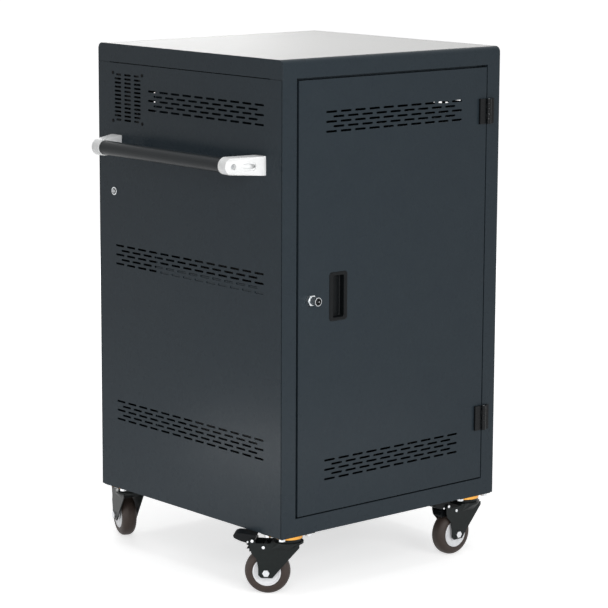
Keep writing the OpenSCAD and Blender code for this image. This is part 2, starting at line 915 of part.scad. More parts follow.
module door_pan(lock_hole) {
    w = door_x1 - door_x0;
    h = door_z1 - door_z0;
    mid = (door_x0 + door_x1) / 2;
    upright_xz(front_y, sheet) difference() {
        translate([door_x0, door_z0]) square([w, h]);
        translate([mid, top_z - door_vent_top]) slot_field(short_count, door_pitch);
        translate([mid, low_z + door_vent_low]) slot_field(short_count, door_pitch);
        translate([left_x + pull_x, low_z + pull_z])
            square([pull_w + 2 * sheet, pull_h + 2 * sheet], center = true);
        if (lock_hole) translate(front_lock) circle(d = barrel_d + 2 * slip_fit);
    }
    upright_xz(front_y + sheet, door_t - sheet) difference() {
        translate([door_x0, door_z0]) square([w, h]);
        translate([door_x0 + sheet, door_z0 + sheet]) square([w - 2 * sheet, h - 2 * sheet]);
    }
}

module front_door_pan() {
    color(paint) door_pan(true);
}

module rear_door_pan() {
    color(paint) at_back() door_pan(false);
}

// A cup behind a thin rim
module pull_cup() {
    rim_t = 1.5;
    outer = [pull_w + 2 * pull_rim, pull_h + 2 * pull_rim * 0.75];
    box = [pull_w + 2 * sheet - 2 * slip_fit, pull_h + 2 * sheet - 2 * slip_fit];
    color(black_plastic) translate([left_x + pull_x, 0, low_z + pull_z]) difference() {
        union() {
            upright_xz(front_y - rim_t, rim_t) square(outer, center = true);
            upright_xz(front_y, pull_depth) square(box, center = true);
        }
        upright_xz(front_y - rim_t - cut, pull_depth + rim_t + cut - sheet)
            square([pull_w, pull_h], center = true);
    }
}

module front_pull() {
    pull_cup();
}

module rear_pull() {
    at_back() pull_cup();
}

// Locks. Each is drawn along +Y from its face, and turned to suit

module lock_barrel(proud, depth, collar) {
    nut_flats = barrel_d + 6;
    difference() {
        union() {
            if (collar) hex_y(lock_collar, -lock_collar_h, 0);
            rod_y(lock_face_d / 2, -proud, 0);
            rod_y(barrel_d / 2, -proud / 2, depth);
            hex_y(nut_flats, sheet, sheet + nut_h);
        }
        rod_y(plug_d / 2 + run_fit, -proud - cut, depth + cut);
    }
}

module lock_plug(proud, depth, tail) {
    face = -proud - plug_proud;
    difference() {
        union() {
            rod_y(plug_d / 2, face, depth + body_gap);
            rod_y(tail_r, depth, tail);
        }
        span([-keyway_t / 2, face - cut, -keyway_h / 2], [keyway_t / 2, face + keyway_d, keyway_h / 2]);
    }
}

// A flat arm that reaches down from the lock's axis
module lock_cam(y, len) {
    upright_xz(y, cam_t) difference() {
        union() {
            circle(d = cam_w);
            translate([-cam_w / 2, -len]) square([cam_w, len]);
        }
        circle(r = tail_r);
    }
}

module at_front_lock() {
    translate([front_lock[0], front_y, front_lock[1]]) children();
}

module at_side_lock() {
    translate([left_x, side_lock[0], side_lock[1]]) rotate([0, 0, -90]) children();
}

module front_lock_barrel() {
    color(bright_zinc) at_front_lock() lock_barrel(front_lock_proud, barrel_back, true);
}

module front_lock_plug() {
    color(bright_zinc) at_front_lock()
        lock_plug(front_lock_proud, barrel_back, barrel_back + body_gap + cam_t + 2);
}

module front_lock_cam() {
    color(bright_zinc) at_front_lock() lock_cam(barrel_back + body_gap, front_cam_len);
}

module side_lock_barrel() {
    color(bright_zinc) at_side_lock() lock_barrel(lock_lip, barrel_back, false);
}

module side_lock_plug() {
    color(bright_zinc) at_side_lock() lock_plug(lock_lip, barrel_back, spindle_len + cam_t + 2);
}

// Points to the back when unlocked, and turns down behind the strike
module side_lock_cam() {
    color(bright_zinc) at_side_lock() rotate([0, 90, 0]) lock_cam(spindle_len, side_cam_len);
}

// A tongue on the rear door, with a lip on the far side of the cam
module rear_strike() {
    x0 = cam_x - 2;
    x1 = cam_x + cam_t + 5;
    lip_y = side_lock[0] - cam_w / 2 - strike_gap - sheet;
    z1 = side_lock[1] - strike_drop;
    z0 = z1 - strike_h;
    foot = 16;
    color(paint) {
        span([x1, lip_y, z0], [x1 + sheet, back_y - sheet, z1]);
        span([x0, lip_y, z0], [x1 + sheet, lip_y + sheet, z1]);
        span([x1, back_y - 2 * sheet, z0], [x1 + foot, back_y - sheet, z1]);
    }
}

// Casters, drawn with the swivel axis at the origin and trailing to -X

module at_caster(c) {
    translate([c[0], c[1], low_z]) rotate([0, 0, c[2]]) children();
}

module plate_bolt_places() {
    for (a = [-1, 1]) for (b = [-1, 1])
        translate([a * plate_hole_x / 2, b * plate_hole_y / 2, 0]) children();
}

module caster_plates() {
    color(yellow_zinc) for (c = casters) translate([c[0], c[1], low_z]) {
        difference() {
            translate([-plate_l / 2, -plate_w / 2, plate_low]) cube([plate_l, plate_w, plate_t]);
            plate_bolt_places() translate([0, 0, plate_low - cut])
                cylinder(r = plate_bolt_r, h = plate_t + 2 * cut);
        }
        translate([0, 0, race_low]) cylinder(r = race_r, h = plate_low - race_low);
        translate([0, 0, crown_low - body_gap]) cylinder(r = kingpin_r, h = -crown_low + body_gap);
        translate([0, 0, crown_low - body_gap - kingpin_head_t])
            cylinder(r = kingpin_head_r, h = kingpin_head_t);
    }
}

module caster_bolts() {
    flats = 13;
    nut_t = 6;
    low = plate_low - plate_bolt_head;
    color(bright_zinc) for (c = casters) translate([c[0], c[1], low_z]) plate_bolt_places() {
        translate([0, 0, low]) cylinder(d = flats / cos(30), h = plate_bolt_head, $fn = 6);
        translate([0, 0, low]) cylinder(r = plate_bolt_r, h = pan_lift + pan_t + nut_t + 2 - low);
        translate([0, 0, pan_lift + pan_t]) cylinder(d = flats / cos(30), h = nut_t, $fn = 6);
    }
}

// Side outline of a fork leg, with a longer upper end where it carries a brake
module leg_outline(braked) {
    foot = 11;
    corner = 6;
    rim = wheel_d / 2;
    far = braked ? brake_end : trail + leg_tail;
    polygon([
        [-trail + leg_heel, axle_z - foot], [-trail - leg_toe + corner, axle_z - foot],
        [-trail - leg_toe, axle_z - foot + corner], [-trail - leg_toe, axle_z + foot],
        [-trail - leg_hip, axle_z + rim - 3 * corner], [-far + corner / 2, axle_z + rim - corner],
        [-far, axle_z + rim + corner], [-far, crown_low + 1], [crown_r - corner, crown_low + 1],
        [crown_r - corner, crown_low - corner], [-trail + leg_throat, axle_z + foot]
    ]);
    if (braked) {
        translate([-far, crown_low - corner]) square([ear_w, ear_top - crown_low]);
        translate([-pedal_pin[0], ear_top - corner]) circle(r = corner - 1);
    }
}

// The crown's skirt, which narrows from the race to the legs and is open behind
module fork_bell(wall, low) {
    hull() {
        translate([0, 0, crown_low]) cylinder(r = crown_r - wall, h = crown_t - wall);
        span([-saddle, -leg_out + wall, low], [bell_nose - wall, leg_out - wall, low + 1]);
    }
}

module fork(braked) {
    color(black_plastic) difference() {
        union() {
            difference() {
                fork_bell(0, bell_low);
                fork_bell(leg_t, bell_low - cut);
                span([-2 * crown_r, -leg_in, bell_low - cut], [-bell_open, leg_in, crown_low]);
            }
            translate([0, 0, crown_low]) cylinder(r = neck_r, h = neck_top - crown_low);
            translate([0, 0, crown_low]) linear_extrude(crown_t) {
                circle(r = crown_r);
                translate([-saddle, -leg_out]) square([saddle, 2 * leg_out]);
            }
            for (y = [-leg_out, leg_in]) upright_xz(y, leg_t) leg_outline(braked);
        }
        translate([0, 0, crown_low - cut])
            cylinder(r = kingpin_r + run_fit, h = neck_top - crown_low + 2 * cut);
        translate([-trail, 0, axle_z]) rod_y(axle_d / 2, -leg_out - cut, leg_out + cut);
        if (braked) {
            translate([-pedal_pin[0], 0, pedal_pin[1]]) rod_y(pedal_pin_r, -leg_out - cut, leg_out + cut);
            translate([-rivet[0], 0, rivet[1]]) rod_y(pedal_pin_r, -leg_out - cut, leg_out + cut);
        }
    }
}

// The axle bolt and, on a braked caster, the pedal's pin and a rivet
module caster_pins(braked) {
    head_t = 5;
    cap_t = 1.5;
    cap_r = pedal_pin_r + 0.9;
    axle_flats = 13.5;
    color(bright_zinc) {
        translate([-trail, 0, axle_z]) {
            hex_y(axle_flats, -leg_out - head_t, -leg_out);
            rod_y(axle_d / 2, -leg_out - head_t / 2, leg_out + head_t + 2);
            hex_y(axle_flats, leg_out, leg_out + head_t);
        }
        if (braked) for (p = [pedal_pin, rivet]) translate([-p[0], 0, p[1]]) {
            rod_y(pedal_pin_r, -leg_out - cap_t, leg_out + cap_t);
            for (y = [-leg_out - cap_t, leg_out]) rod_y(cap_r, y, y + cap_t);
        }
    }
}

// Rim, web and hub of a wheel, turned about its axle
module wheel_core() {
    rim_w = tyre_w - 1;
    rim_t = 4;
    web_t = tyre_w - 8;
    hub_r = axle_d / 2 + 6;
    color(white_plastic) translate([-trail, 0, axle_z]) rotate([90, 0, 0]) difference() {
        rotate_extrude() {
            translate([core_d / 2 - rim_t, -rim_w / 2]) square([rim_t, rim_w]);
            translate([0, -web_t / 2]) square([core_d / 2 - 1, web_t]);
            translate([0, -hub_w / 2]) square([hub_r, hub_w]);
        }
        cylinder(r = axle_d / 2 + run_fit, h = 2 * hub_w, center = true);
    }
}

module tyre() {
    r = wheel_d / 2;
    shoulder = tyre_round;
    half = tyre_w / 2;
    color(rubber) translate([-trail, 0, axle_z]) rotate([90, 0, 0]) rotate_extrude() polygon(concat(
        [[core_d / 2, -half + 2], [core_d / 2 + 2, -half]],
        [for (a = [-90 : 15 : 0]) [r - shoulder + shoulder * cos(a), -half + shoulder + shoulder * sin(a)]],
        [for (a = [0 : 15 : 90]) [r - shoulder + shoulder * cos(a), half - shoulder + shoulder * sin(a)]],
        [[core_d / 2 + 2, half], [core_d / 2, half - 2]]
    ));
}

// Side outline of the lever, thick at the pin and lifted at its outer end
module lever_outline(lever, top) {
    polygon([
        [9, top - 4], [-lever + 20, top], [-lever + 10, top], [-lever + 3, top - 2.5], [-lever, top - 7],
        [-lever + 3, 4], [-lever + 17, -2], [-9, -6.5], [2, 1 - pedal_hub_r]
    ]);
}

// Side outline of the toothed tail behind the shoe
module tail_outline() {
    polygon([[0, 0], [-14.5, -11], [-9, -13.5], [-14, -20.5], [-8, -20], [-8, -27], [-3, -25.5], [3, -20]]);
}

// A foot lever with a shoe that swings down towards the tyre
module brake_pedal() {
    pin_to_axle = [pedal_pin[0] - trail, pedal_pin[1] - axle_z];
    shoe_len = norm(pin_to_axle) - wheel_d / 2 - shoe_gap;
    shoe_w = 24;
    tail_w = 22;
    lean = atan2(pin_to_axle[0], pin_to_axle[1]) - pedal_travel;
    lever = pedal_reach - pedal_pin[0];
    hub_half = leg_in - body_gap;
    side = pedal_half_w - pedal_round;
    color(black_plastic) translate([-pedal_pin[0], 0, pedal_pin[1]]) difference() {
        union() {
            rod_y(pedal_hub_r, -hub_half, hub_half);
            rotate([0, -lean, 0]) span([-4, -shoe_w / 2, -shoe_len], [4, shoe_w / 2, 0]);
            upright_xz(-tail_w / 2, tail_w) tail_outline();
            intersection() {
                upright_xz(-pedal_half_w, 2 * pedal_half_w) lever_outline(lever, pedal_top - pedal_pin[1]);
                translate([-lever, 0, -lever]) linear_extrude(2 * lever) {
                    translate([pedal_round, -pedal_half_w]) square([2 * lever, 2 * pedal_half_w]);
                    translate([0, -side]) square([2 * lever, 2 * side]);
                    for (s = [-1, 1]) translate([pedal_round, s * side]) circle(r = pedal_round);
                }
            }
        }
        rod_y(pedal_pin_r + run_fit, -2 * leg_out, 2 * leg_out);
    }
}

place() {
    base_pan();
    corner_posts();
    front_frame();
    rear_frame();
    left_panel();
    right_panel();
    top_lid();
    worktop();
    lower_tray();
    upper_tray();
    lower_dividers();
    upper_dividers();
    rear_partition();
    adapter_shelves();
    socket_strips();
    control_box();
    mains_inlet();
    power_rocker();
    fan_housing();
    fan_rotor();
    fan_screws();
    handle_tube();
    handle_brackets();
    handle_screws();
    frame_hinge_leaves();
    hinge_pins();
    front_door_pan();
    front_pull();
    front_lock_barrel();
    front_door_leaves();
    front_lock_plug();
    front_lock_cam();
    rear_door_pan();
    rear_pull();
    rear_door_leaves();
    rear_strike();
    side_lock_barrel();
    side_lock_plug();
    side_lock_cam();
    caster_plates();
    caster_bolts();
    at_caster(front_left) fork(true);  // fork_front_left
    at_caster(front_right) fork(true);  // fork_front_right
    at_caster(rear_left) fork(false);  // fork_rear_left
    at_caster(rear_right) fork(false);  // fork_rear_right
    at_caster(front_left) caster_pins(true);  // pins_front_left
    at_caster(front_right) caster_pins(true);  // pins_front_right
    at_caster(rear_left) caster_pins(false);  // pins_rear_left
    at_caster(rear_right) caster_pins(false);  // pins_rear_right
    at_caster(front_left) wheel_core();  // core_front_left
    at_caster(front_right) wheel_core();  // core_front_right
    at_caster(rear_left) wheel_core();  // core_rear_left
    at_caster(rear_right) wheel_core();  // core_rear_right
    at_caster(front_left) tyre();  // tyre_front_left
    at_caster(front_right) tyre();  // tyre_front_right
    at_caster(rear_left) tyre();  // tyre_rear_left
    at_caster(rear_right) tyre();  // tyre_rear_right
    at_caster(front_left) brake_pedal();  // pedal_front_left
    at_caster(front_right) brake_pedal();  // pedal_front_right
}
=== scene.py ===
import json
import math

import bmesh
import bpy
from mathutils import Matrix, Vector

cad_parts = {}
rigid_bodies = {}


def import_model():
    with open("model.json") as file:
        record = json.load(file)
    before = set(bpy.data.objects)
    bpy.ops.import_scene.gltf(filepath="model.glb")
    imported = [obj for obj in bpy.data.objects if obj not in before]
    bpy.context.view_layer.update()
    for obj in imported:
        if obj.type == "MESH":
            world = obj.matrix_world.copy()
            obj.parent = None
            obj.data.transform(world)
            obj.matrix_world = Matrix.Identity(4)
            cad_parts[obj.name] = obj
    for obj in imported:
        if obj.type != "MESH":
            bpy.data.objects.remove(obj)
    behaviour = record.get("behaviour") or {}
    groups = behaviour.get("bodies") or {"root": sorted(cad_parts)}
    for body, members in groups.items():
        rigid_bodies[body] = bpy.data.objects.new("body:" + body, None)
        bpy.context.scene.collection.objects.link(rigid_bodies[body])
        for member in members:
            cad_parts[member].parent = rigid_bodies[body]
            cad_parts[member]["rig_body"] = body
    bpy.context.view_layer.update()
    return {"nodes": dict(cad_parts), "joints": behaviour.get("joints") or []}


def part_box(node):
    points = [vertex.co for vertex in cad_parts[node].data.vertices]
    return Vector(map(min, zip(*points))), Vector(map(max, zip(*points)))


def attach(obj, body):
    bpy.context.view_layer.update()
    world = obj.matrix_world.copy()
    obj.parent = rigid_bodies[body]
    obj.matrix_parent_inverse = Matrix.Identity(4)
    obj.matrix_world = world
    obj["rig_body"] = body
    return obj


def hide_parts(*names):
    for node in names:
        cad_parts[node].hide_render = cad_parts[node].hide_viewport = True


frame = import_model()
nodes = frame["nodes"]
joints = {joint["name"]: joint for joint in frame["joints"]}
mm = 0.001
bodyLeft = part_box("left_panel")[0].x
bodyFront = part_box("front_frame")[0].y
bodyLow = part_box("front_frame")[0].z


# Camera

cameraLook = {
    "toLeft": 3.2735,  # metres from the cabinet's lower front left corner
    "toFront": 3.84645,
    "above": 1.41312,
    "yaw": 0.714,  # radians, turned to the right of straight ahead
    "pitch": 0.1787,  # radians, looking down
    "roll": 0.0043,
    "sensor": 36,  # millimetres
    "lens": 148.04,  # millimetres
    "farthest": 100,  # metres that the camera sees
}

yaw, pitch, roll = cameraLook["yaw"], cameraLook["pitch"], cameraLook["roll"]
ahead = Vector((math.sin(yaw) * math.cos(pitch), math.cos(yaw) * math.cos(pitch), -math.sin(pitch)))
level = Vector((math.cos(yaw), -math.sin(yaw), 0))
across = math.cos(roll) * level + math.sin(roll) * level.cross(ahead)
turn = Matrix((across, across.cross(ahead), -ahead)).transposed().to_4x4()
spot = Vector((bodyLeft - cameraLook["toLeft"], bodyFront - cameraLook["toFront"],
               bodyLow + cameraLook["above"]))
cameraData = bpy.data.cameras.new("cartCamera")
cameraData.lens = cameraLook["lens"]
cameraData.sensor_width = cameraLook["sensor"]
cameraData.clip_end = cameraLook["farthest"]
camera = bpy.data.objects.new("cartCamera", cameraData)
bpy.context.scene.collection.objects.link(camera)
camera.matrix_world = Matrix.Translation(spot) @ turn
bpy.context.scene.camera = camera
print("camera set")


# Materials

patternLook = {
    "cloudDetail": 3,  # layers of noise in the tones
    "fineDetail": 2,  # and in the gloss and the relief
    "bumpStrength": 0.5,
}


def hexToLinear(code):  # an sRGB hex value as the linear colour that a shader takes
    channels = [int(code[i:i + 2], 16) / 255 for i in (1, 3, 5)]
    linear = [c / 12.92 if c <= 0.04045 else ((c + 0.055) / 1.055) ** 2.4 for c in channels]
    return (*linear, 1)


def addNode(owner, kind, settings=None, links=None):  # a node with its settings, fed by other nodes' outputs
    node = owner.node_tree.nodes.new(kind)
    for key, value in (settings or {}).items():
        if isinstance(key, int) or key in node.inputs:
            node.inputs[key].default_value = value
        else:
            setattr(node, key, value)
    for key, source in (links or {}).items():
        owner.node_tree.links.new(source, node.inputs[key])
    return node


def makeFinish(name, look):  # two tones in a cloud, an uneven gloss and a fine relief; sizes in millimetres
    material = bpy.data.materials.new(name)
    material.use_nodes = True
    shader = material.node_tree.nodes["Principled BSDF"]
    for key, value in look["sockets"].items():
        shader.inputs[key].default_value = value
    feed = material.node_tree.links.new
    place = addNode(material, "ShaderNodeTexCoord").outputs["Object"]
    if "drawn" in look:  # patterns pulled out along the way the piece was drawn or brushed
        place = addNode(material, "ShaderNodeMapping", {"Scale": look["drawn"]},
                        {"Vector": place}).outputs["Vector"]
    cloud = addNode(material, "ShaderNodeTexNoise", {"Scale": 1 / (look["cloud"] * mm),
                                                     "Detail": patternLook["cloudDetail"]},
                    {"Vector": place})
    tone = addNode(material, "ShaderNodeMixRGB", {"Color1": hexToLinear(look["tones"][0]),
                                                  "Color2": hexToLinear(look["tones"][1])},
                   {"Fac": cloud.outputs["Fac"]})
    feed(tone.outputs["Color"], shader.inputs["Base Color"])
    haze = addNode(material, "ShaderNodeTexNoise", {"Scale": 1 / (look["haze"] * mm),
                                                    "Detail": patternLook["fineDetail"]},
                   {"Vector": place})
    gloss = addNode(material, "ShaderNodeMapRange", {"To Min": look["rough"][0], "To Max": look["rough"][1]},
                    {"Value": haze.outputs["Fac"]})
    feed(gloss.outputs["Result"], shader.inputs["Roughness"])
    normal = None
    for size, depth in look["relief"]:
        grain = addNode(material, "ShaderNodeTexNoise", {"Scale": 1 / (size * mm),
                                                         "Detail": patternLook["fineDetail"]},
                        {"Vector": place})
        links = {"Height": grain.outputs["Fac"]}
        if normal:
            links["Normal"] = normal
        bump = addNode(material, "ShaderNodeBump", {"Distance": depth * mm,
                                                    "Strength": patternLook["bumpStrength"]}, links)
        normal = bump.outputs["Normal"]
    if normal:
        feed(normal, shader.inputs["Normal"])
    return material


# Satin powder coat on sheet steel: blue-grey, soft reflections broken by orange peel and a long wave
powderCoat = makeFinish("satinPowderCoat", {
    "sockets": {"Specular IOR Level": 0.12},
    "tones": ("#283138", "#2c353b"), "cloud": 45,
    "rough": (0.24, 0.32), "haze": 20,
    "relief": ((2.2, 0.012), (260, 0.35)),  # real peel is about 1 mm, drawn coarser to show
})
# Matt pressed laminate on the top: a fine speckle over a pale grey that is largely painted reflection, the
# bright glare of the top seen at a low angle
paleTopPaintedReflection = makeFinish("greyLaminatePaintedReflection", {
    "sockets": {"Specular IOR Level": 0.25},
    "tones": ("#bdbdbc", "#d2d2d1"), "cloud": 1.8,
    "rough": (0.46, 0.56), "haze": 8,
    "relief": ((1.2, 0.012),),
})
# Black moulded ABS: fine spark-eroded grain and a soft sheen
blackAbs = makeFinish("blackMouldedAbs", {
    "sockets": {"Specular IOR Level": 0.12},
    "tones": ("#0b0d0f", "#121517"), "cloud": 6,
    "rough": (0.34, 0.46), "haze": 3,
    "relief": ((0.8, 0.03),),
})
# Black stove enamel on the hinges: smoother than the plastic, with small bright glints on the knuckles
hingeEnamel = makeFinish("blackStoveEnamel", {
    "sockets": {"Specular IOR Level": 0.14},
    "tones": ("#111315", "#17191b"), "cloud": 8,
    "rough": (0.22, 0.32), "haze": 3,
    "relief": ((1.4, 0.015),),
})
# White glass-filled nylon: bright and slightly waxy, with faint flow marks
whiteNylon = makeFinish("whiteMouldedNylon", {
    "sockets": {"Specular IOR Level": 0.4},
    "tones": ("#f4f5f5", "#fafbfb"), "cloud": 14,
    "rough": (0.34, 0.44), "haze": 5,
    "relief": ((1.1, 0.02),),
})
# White polypropylene of the wheel cores: waxy, faintly mottled by the moulding
whitePolypropylene = makeFinish("whitePolypropylene", {
    "sockets": {"Specular IOR Level": 0.35},
    "tones": ("#e6e7ea", "#f3f4f6"), "cloud": 9,
    "rough": (0.34, 0.46), "haze": 4,
    "relief": ((1.5, 0.03),),
})
# Black extruded PVC sheet of the dividers: even, with a slight drawing grain upwards
blackPvc = makeFinish("blackExtrudedPvc", {
    "sockets": {"Specular IOR Level": 0.3}, "drawn": (1, 1, 0.12),
    "tones": ("#131416", "#1b1c1e"), "cloud": 5,
    "rough": (0.42, 0.54), "haze": 4,
    "relief": ((1.4, 0.02),),
})
# Black paint on pressed steel: satin, a little uneven over the press marks
blackSteel = makeFinish("blackPaintedSteel", {
    "sockets": {"Specular IOR Level": 0.14},
    "tones": ("#171b1b", "#1f2424"), "cloud": 10,
    "rough": (0.30, 0.42), "haze": 4,
    "relief": ((2.0, 0.03), (24, 0.12)),
})
# Grey-black coat on the handle's drawn tube: a satin streak runs along it
tubeCoat = makeFinish("handleTubeCoat", {
    "sockets": {"Specular IOR Level": 0.2}, "drawn": (1, 0.1, 1),
    "tones": ("#181c1f", "#1f2427"), "cloud": 8,
    "rough": (0.30, 0.40), "haze": 5,
    "relief": ((1.6, 0.02),),
})
# Bright zinc plate on bolts and rivets: pale metal with cloudy patches
brightZinc = makeFinish("brightZincPlate", {
    "sockets": {"Metallic": 1.0},
    "tones": ("#c6c8cb", "#e2e4e6"), "cloud": 3,
    "rough": (0.22, 0.38), "haze": 2,
    "relief": ((0.9, 0.01),),
})
# Yellow passivated zinc: warm gold that drifts a little towards pink
yellowZinc = makeFinish("yellowZincPlate", {
    "sockets": {"Metallic": 1.0},
    "tones": ("#d88f34", "#efb964"), "cloud": 12,
    "rough": (0.24, 0.38), "haze": 4,
    "relief": ((1.2, 0.01),),
})
# Blackened steel screws: dull oxide that only shows as dark dots
blackOxide = makeFinish("blackOxideSteel", {
    "sockets": {"Specular IOR Level": 0.06},
    "tones": ("#060607", "#0b0b0c"), "cloud": 2,
    "rough": (0.50, 0.62), "haze": 1.5,
    "relief": ((0.7, 0.01),),
})
# Matt black glass-filled nylon of the fan, darker than the plastic itself: partly painted shade for the dark
# behind the grille, swallowing the light that falls through it
fanNylonPaintedShade = makeFinish("mattBlackNylonPaintedShade", {
    "sockets": {"Specular IOR Level": 0.08},
    "tones": ("#08090a", "#0e0f10"), "cloud": 5,
    "rough": (0.55, 0.68), "haze": 3,
    "relief": ((0.9, 0.03),),
})
# Brown-black thermoplastic rubber: dull, slightly mottled by handling
tyreRubber = makeFinish("brownBlackRubber", {
    "sockets": {"Specular IOR Level": 0.3},
    "tones": ("#332a26", "#3f3530"), "cloud": 7,
    "rough": (0.44, 0.58), "haze": 3,
    "relief": ((0.9, 0.03),),
})
print("materials made:", len(bpy.data.materials))


# Shared ways of making a piece

joinLook = {
    "merge": 0.005,  # millimetres between points that are taken as one
    "flat": 0.5,  # degrees under which two faces become one
    "smooth": 40,  # degrees above which an edge stays hard
}
turnLook = {
    "merge": 0.002,  # millimetres between points that are taken as one
    "leastSteps": 4,  # in the smallest rounding
}


def finishPiece(bm, name, body, material, stands=()):  # a mesh on its body, in place of its CAD nodes
    mesh = bpy.data.meshes.new(name)
    for face in bm.faces:
        face.smooth = True
    bm.to_mesh(mesh)
    bm.free()
    mesh.set_sharp_from_angle(angle=math.radians(joinLook["smooth"]))
    mesh.materials.append(material)
    piece = bpy.data.objects.new(name, mesh)
    bpy.context.scene.collection.objects.link(piece)
    weighted = piece.modifiers.new("evenShading", "WEIGHTED_NORMAL")
    weighted.keep_sharp = True
    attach(piece, body)
    if stands:
        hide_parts(*stands)
    return piece


def softened(node, look, material):  # the CAD shape, its flat faces whole and its hard edges rounded
    bm = bmesh.new()
    bm.from_mesh(nodes[node].data)
    bmesh.ops.remove_doubles(bm, verts=bm.verts, dist=joinLook["merge"] * mm)
    bmesh.ops.dissolve_limit(bm, angle_limit=math.radians(joinLook["flat"]), verts=bm.verts, edges=bm.edges)
    limit = math.radians(look["sharp"])
    edges = [e for e in bm.edges if e.is_manifold and e.calc_face_angle(0) > limit]
    bmesh.ops.bevel(bm, geom=edges, offset=look["edge"] * mm, offset_type="OFFSET", segments=look["steps"],
                    profile=0.5, affect="EDGES", clamp_overlap=True, material=-1)
    return finishPiece(bm, node + "Finished", nodes[node]["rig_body"], material, [node])


def turned(profile, steps, place):  # a closed outline of radius, distance along the axis and rounding, in mm
    bm = bmesh.new()
    ring = [bm.verts.new((radius * mm, along * mm, 0)) for radius, along, rounding in profile]
    for start, end in zip(ring, ring[1:] + ring[:1]):
        bm.edges.new((start, end))
    for point, (radius, along, rounding) in zip(ring, profile):
        if rounding:
            bmesh.ops.bevel(bm, geom=[point], offset=rounding * mm, offset_type="OFFSET",
                            segments=turnLook["leastSteps"] + int(rounding), profile=0.5, affect="VERTICES",
                            material=-1)
    bmesh.ops.spin(bm, geom=bm.verts[:] + bm.edges[:], cent=(0, 0, 0), axis=(0, 1, 0), angle=math.tau,
                   steps=steps, use_merge=True)
    bmesh.ops.remove_doubles(bm, verts=bm.verts, dist=turnLook["merge"] * mm)
    bmesh.ops.recalc_face_normals(bm, faces=bm.faces)
    bmesh.ops.transform(bm, matrix=place, verts=bm.verts)
    return bm


# Shell: folded sheet whose edges the paint rounds a little

# In these and the next dictionaries: millimetres of rounding, its steps, degrees past which an edge is hard
sheetLook = {"edge": 0.55, "steps": 2, "sharp": 28}
worktopLook = {"edge": 0.6, "steps": 2, "sharp": 28}
dividerLook = {"edge": 0.8, "steps": 2, "sharp": 28}

for node in ("base_pan", "corner_posts", "front_frame", "rear_frame", "left_panel", "right_panel", "top_lid",
             "lower_tray", "upper_tray", "rear_partition", "adapter_shelves", "control_box",
             "front_door_pan", "rear_door_pan"):
    softened(node, sheetLook, powderCoat)
# the worktop's pale grey is painted reflection, the top's glare at a low angle
softened("worktop", worktopLook, paleTopPaintedReflection)
for node in ("lower_dividers", "upper_dividers"):
    softened(node, dividerLook, blackPvc)
print("shell made")


# Pulls: a shallow crowned bezel round a deep cup

pullLook = {
    "corner": 7,  # millimetres, round the rim
    "cornerSteps": 6,
    "rim": ((0.3, 0.9), (0.5, 0.4), (0.9, 0.2)),  # each inset and rise round the edge, in millimetres
    # How far the sides and the ends go in, and the rise, from the crown down to the cup's floor
    "cup": ((7.2, 4.6, -0.15), (0.6, 0.6, -0.3), (0.5, 0.5, -0.8), (0.7, 0.7, -11.2), (1.0, 1.0, -0.7),
            (1.4, 1.4, -0.4)),
    "back": (0.63, 0.875),  # the cup's outside against the rim's width and height
}

for side, facing in (("front", 0), ("rear", math.pi)):
    node = side + "_pull"
    low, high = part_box(node)
    middle = (Vector(low) + Vector(high)) / 2
    wall = bodyFront if side == "front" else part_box("rear_frame")[1].y
    depth = high.y - wall if side == "front" else wall - low.y
    bm = bmesh.new()
    bmesh.ops.create_grid(bm, x_segments=1, y_segments=1, size=0.5)
    bmesh.ops.scale(bm, vec=(high.x - low.x, high.z - low.z, 1), verts=bm.verts)
    bmesh.ops.bevel(bm, geom=bm.verts[:], offset=pullLook["corner"] * mm, offset_type="OFFSET",
                    segments=pullLook["cornerSteps"], profile=0.5, affect="VERTICES", material=-1)
    cup = list(bm.faces)
    for step, rise in pullLook["rim"]:
        bmesh.ops.inset_region(bm, faces=cup, thickness=step * mm, depth=rise * mm, use_boundary=True,
                               use_even_offset=True)
    for sides, ends, rise in pullLook["cup"]:
        cup = bmesh.ops.extrude_discrete_faces(bm, faces=cup)["faces"]
        corners = list(cup[0].verts)
        half = [max(corner.co[axis] for corner in corners) for axis in (0, 1)]
        bmesh.ops.scale(bm, vec=(1 - sides * mm / half[0], 1 - ends * mm / half[1], 1), verts=corners)
        bmesh.ops.translate(bm, vec=(0, 0, rise * mm), verts=corners)
    border = [edge for edge in bm.edges if edge.is_boundary]
    # The rim's underside, then the cup's outside
    for size, sink in (((*pullLook["back"], 1), 0), ((1, 1, 1), depth)):
        new = bmesh.ops.extrude_edge_only(bm, edges=border)["geom"]
        corners = [item for item in new if isinstance(item, bmesh.types.BMVert)]
        border = [item for item in new if isinstance(item, bmesh.types.BMEdge)]
        bmesh.ops.scale(bm, vec=size, verts=corners)
        bmesh.ops.translate(bm, vec=(0, 0, -sink), verts=corners)
    bmesh.ops.contextual_create(bm, geom=border)
    bmesh.ops.recalc_face_normals(bm, faces=bm.faces)
    upright = Matrix.Rotation(facing, 4, "Z") @ Matrix.Rotation(math.pi / 2, 4, "X")
    place = Matrix.Translation((middle.x, wall, middle.z)) @ upright
    bmesh.ops.transform(bm, matrix=place, verts=bm.verts)
    finishPiece(bm, node + "Finished", nodes[node]["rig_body"], blackAbs, [node])
print("pulls made")


# Fittings of moulded plastic and painted metal

electricLook = {"edge": 0.4, "steps": 2, "sharp": 28}
hingeLook = {"edge": 0.7, "steps": 3, "sharp": 28}
bracketLook = {"edge": 2.2, "steps": 4, "sharp": 28}
tubeLook = {"edge": 0.8, "steps": 2, "sharp": 28}
pedalLook = {"edge": 0.7, "steps": 3, "sharp": 28}

